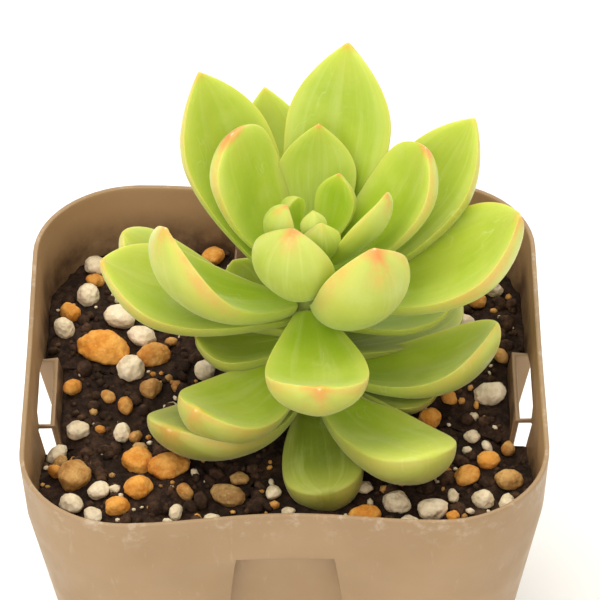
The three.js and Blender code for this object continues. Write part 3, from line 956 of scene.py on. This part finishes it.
def make_bark():
    finish = Finish("stem_skin", 0.6, 0.3)
    patch = finish.ramp(finish.grain(350.0, 5.0, 0.6), 0.35, 0.65)
    colour = finish.mix(patch, tint(150, 160, 78), tint(186, 190, 112))
    colour = finish.mix(finish.ramp(finish.grain(900.0, 3.0), 0.56, 0.70), colour, tint(140, 112, 70))
    return finish.wear(Base_Color=colour, Normal=finish.bump(finish.grain(800.0, 4.0), 0.5, 0.3))


stem = finish_piece("stem_core", make_stem(), make_bark(), ("stem",))
smoother(stem, 1)
print("stem faces", len(stem.data.polygons))

# %% [markdown]
# ## Grains
# Two kinds of grit lie on the soil: orange fired clay and white perlite. A larger grain starts from its
# own solid, whose loose triangles are merged, divided and roughened with noise, so it stays in the hollow
# that the soil keeps for it. Smaller ones are little spheres pushed out of shape.

# %% Grit finishes
def make_clay():
    finish = Finish("fired_clay", 0.85, 0.25)
    tone = finish.attribute("tone")
    patch = finish.ramp(finish.grain(380.0, 5.0, 0.65), 0.34, 0.66)
    orange = finish.mix(patch, tint(214, 134, 44), tint(242, 176, 84))
    brown = finish.mix(patch, tint(150, 110, 62), tint(204, 164, 104))
    colour = finish.mix(tone, orange, brown)
    dust = finish.times(finish.ramp(finish.grain(1500.0, 4.0, 0.7), 0.55, 0.75), 0.45)
    colour = finish.mix(dust, colour, tint(250, 214, 150))
    stain = finish.times(finish.ramp(finish.grain(260.0, 3.0), 0.60, 0.75), 0.6)
    colour = finish.mix(stain, colour, tint(128, 70, 34))
    pitted = finish.bump(finish.pits(1500.0), 0.5, 0.25)
    return finish.wear(Base_Color=colour, Normal=finish.bump(finish.grain(1100.0, 5.0), 0.6, 0.35, pitted))


def make_perlite():
    finish = Finish("perlite", 0.9, 0.2)
    patch = finish.ramp(finish.grain(500.0, 5.0, 0.6), 0.35, 0.7)
    colour = finish.mix(patch, tint(228, 208, 172), tint(250, 232, 200))
    stain = finish.times(finish.ramp(finish.grain(330.0, 4.0), 0.52, 0.72), 0.45)
    colour = finish.mix(stain, colour, tint(160, 132, 98))
    pitted = finish.bump(finish.pits(1300.0), 0.7, 0.35)
    return finish.wear(Base_Color=colour, Normal=finish.bump(finish.grain(1400.0, 4.0), 0.5, 0.25, pitted))


clay_finish, perlite_finish = make_clay(), make_perlite()
print("materials", clay_finish.name, perlite_finish.name)

# %% Larger grains
def make_grain(node, number, lumps, tone):
    bm = bmesh.new()
    bm.from_mesh(node.data)
    layer = bm.verts.layers.float.new("tone")
    bmesh.ops.scale(bm, vec=(1000, 1000, 1000), verts=bm.verts)
    bmesh.ops.remove_doubles(bm, verts=bm.verts, dist=0.01)
    bmesh.ops.subdivide_edges(bm, edges=bm.edges, cuts=2, use_grid_fill=True)
    for _ in range(2):
        bmesh.ops.smooth_vert(bm, verts=bm.verts, factor=0.5,
                              use_axis_x=True, use_axis_y=True, use_axis_z=True)
    bm.normal_update()
    middle = sum((v.co for v in bm.verts), Vector()) / len(bm.verts)
    for vert in bm.verts:
        knob = noise.noise(vert.co * 0.9 + Vector((number * 5.1, 0, 0)))
        small = noise.noise(vert.co * 2.4 + Vector((0, number * 3.3, 0)))
        vert.co = middle + (vert.co - middle) * (1.04 + lumps * knob + lumps * 0.5 * small)
        vert[layer] = tone
    bmesh.ops.recalc_face_normals(bm, faces=bm.faces)
    return bm


BROWNER = {"clay_07": 0.75, "clay_08": 1.0, "clay_13": 0.8, "clay_02": 0.35, "clay_04": 0.1, "clay_12": 0.2}

for label in sorted(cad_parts):
    if label.startswith("clay_"):
        number = int(label[-2:])
        body = make_grain(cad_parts[label], number, 0.13, BROWNER.get(label, 0.0))
        finish_piece(label.replace("clay", "clay_grain"), body, clay_finish, (label,))
    if label.startswith("perlite_"):
        number = 30 + int(label[-2:])
        body = make_grain(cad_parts[label], number, 0.12, 0.0)
        finish_piece(label.replace("perlite", "perlite_grain"), body, perlite_finish, (label,))
print("larger grains done")

# %% [markdown]
# The middle sizes are laid one by one where they show round the plant. A helper program found the places
# of the first 11 rows of clay and of most of the first 15 of perlite, and the rest were listed.
# The finest crumbs are scattered by a seeded dice, so that the file gives the same bed every time. Each
# crumb has only twenty faces.

# %% Scattered grit
MIDDLE_CLAY = (
    (-30.2, 18.4, 3.1, 0.1), (-29.3, 3.0, 2.9, 0.2), (-21.9, -1.0, 2.4, 0.4), (-31.0, -13.6, 2.8, 0.2),
    (-18.6, 2.0, 3.3, 0.8), (-13.4, -18.7, 2.6, 0.6), (-6.1, -16.2, 2.3, 0.9), (22.4, -0.8, 2.6, 0.1),
    (22.3, -24.0, 1.9, 0.1), (-10.2, 30.4, 3.2, 0.1), (-26.9, 26.0, 2.6, 0.2), (-24.3, 0.9, 2.2, 0.6),
    (-30.6, -10.6, 2.4, 0.9), (21.5, -11.0, 2.2, 0.5), (-20.4, -6.8, 2.0, 0.7), (29.8, 8.0, 2.8, 0.7),
    (27.0, 20.0, 2.6, 0.4), (12.0, 29.6, 2.8, 0.3), (-2.0, 30.8, 2.2, 0.6), (30.2, -8.4, 2.4, 0.6),
)
MIDDLE_PERLITE = (
    (-30.8, 14.4, 3.8), (-22.2, -6.3, 2.8), (-31.0, -8.4, 2.8), (-25.6, -22.8, 2.6), (-13.8, -12.2, 2.2),
    (-11.1, 6.0, 3.2), (-1.6, -18.9, 2.3), (-9.6, -24.2, 2.8), (-6.4, -24.6, 2.0), (-26.8, 29.0, 3.4),
    (25.3, -7.5, 2.3), (29.6, -21.4, 2.8), (0.4, -22.6, 1.8), (25.1, 14.8, 3.2), (-23.6, 29.6, 2.6),
    (10.6, -17.6, 2.4), (16.4, -24.6, 2.4), (22.4, -20.0, 2.0), (27.4, -9.0, 1.8), (-14.6, -22.6, 2.0),
    (20.0, 27.4, 3.0), (7.0, 30.2, 2.4), (29.4, 22.8, 2.6), (-15.6, -24.8, 1.8), (12.2, -25.4, 2.0),
)


# %% [markdown]
# One ball is turned, stretched and roughened. Before a place is taken, it is measured against the grains
# that already lie there.

# %% One ball and its place
MIDDLE_SUNK = 0.16


def shaped_ball(bm, spot, size, dice, detail, layer, tone):
    turn = Matrix.Rotation(dice.uniform(0, 6.28), 4, Vector((dice.random(), dice.random(), 1)))
    stretch = Matrix.Diagonal((dice.uniform(0.85, 1.2), dice.uniform(0.75, 1.05), dice.uniform(0.6, 0.9), 1))
    matrix = Matrix.Translation(spot) @ turn @ stretch
    made = bmesh.ops.create_icosphere(bm, subdivisions=detail, radius=size / 2, matrix=matrix)["verts"]
    for vert in made:
        knob = noise.noise(vert.co * (2.2 / size)) + 0.5 * noise.noise(vert.co * (5.0 / size))
        vert.co = spot + (vert.co - spot) * (1 + 0.22 * knob)
        vert[layer] = tone


def clear_of(x, y, taken, room):
    return all((x - p) ** 2 + (y - q) ** 2 > (r + room) ** 2 for p, q, r in taken)


taken = []
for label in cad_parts:
    if label.startswith(("clay_", "perlite_")):
        low, high = (v * 1000 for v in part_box(label))
        taken.append(((low.x + high.x) / 2, (low.y + high.y) / 2, max(high.x - low.x, high.y - low.y) / 2))


def lay_middle(name, rows, material, seed):
    dice = random.Random(seed)
    bm = bmesh.new()
    layer = bm.verts.layers.float.new("tone")
    for x, y, size, *tone in rows:
        spot = Vector((x, y, soil_height(x, y) + size * MIDDLE_SUNK))
        shaped_ball(bm, spot, size, dice, 3, layer, tone[0] if tone else 0.0)
        taken.append((x, y, size / 2))
    finish_piece(name, bm, material)


lay_middle("clay_pebbles", MIDDLE_CLAY, clay_finish, 11)
lay_middle("perlite_pebbles", MIDDLE_PERLITE, perlite_finish, 12)
print("places taken", len(taken))

# %% [markdown]
# Crumbs keep inside the pot's wall, out of the recesses, off the stem and out from under the lowest
# leaves, whose points near the soil were kept when the leaves were made.

# %% Crumbs
FIELD = 33
STEM_ROOM = 4.5
TRIES = 6
CORNER_CUT, CORNER_SPARE = 8, 4.6
RECESS_SPARE, RECESS_SPAN = 0.8, 8.2
WALL_ROOM, LEAF_ROOM = 0.2, 0.8
CROWDING = 0.32

blade_tree = kdtree.KDTree(len(low_points))
for count, spot in enumerate(low_points):
    blade_tree.insert((spot.x, spot.y, 0), count)
blade_tree.balance()


def under_leaf(x, y, top, room):
    return any(low_points[k].z < top for _, k, _ in blade_tree.find_range((x, y, 0), room))


def inside_pot(x, y, room):
    reach = half_width(SOIL) - WALL - room
    far, near = max(abs(x), abs(y)), min(abs(x), abs(y))
    if far > reach or abs(x) + abs(y) > (reach - CORNER_CUT) * 2 + CORNER_SPARE:
        return False
    return not (far > reach - RECESS - RECESS_SPARE and near < RECESS_SPAN)


def scatter(name, count, smallest, largest, sunk, material, seed, tones=(0.0, 0.0)):
    dice = random.Random(seed)
    bm = bmesh.new()
    layer = bm.verts.layers.float.new("tone")
    laid = 0
    for _ in range(count * TRIES):
        if laid == count:
            break
        x, y = dice.uniform(-FIELD, FIELD), dice.uniform(-FIELD, FIELD)
        size = smallest + (largest - smallest) * dice.random() ** 2.2
        if not inside_pot(x, y, size / 2 + WALL_ROOM) or not clear_of(x, y, taken, size * CROWDING):
            continue
        if math.hypot(x - AXIS.x, y - AXIS.y) < STEM_ROOM:
            continue
        if under_leaf(x, y, surface(x, y) + size * (sunk + 0.5), size * 0.5 + LEAF_ROOM):
            continue
        spot = Vector((x, y, surface(x, y) + size * sunk))
        shaped_ball(bm, spot, size, dice, 1, layer, dice.uniform(*tones))
        laid += 1
    finish_piece(name, bm, material)
    print(name, "crumbs", laid)


bark = make_earth("bark_bits", tint(52, 37, 28), tint(104, 76, 56), 0.4)
scatter("bark_crumbs", 900, 0.8, 3.2, 0.10, bark, 5)
scatter("perlite_crumbs", 190, 0.6, 2.0, 0.18, perlite_finish, 6)
scatter("clay_crumbs", 170, 0.7, 2.2, 0.16, clay_finish, 7, (0.2, 1.0))

# %% [markdown]
# The box of the finished surfaces is printed, in millimetres.

low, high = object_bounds()
print("visual box", [round(v * 1000, 1) for v in (*low, *high)])
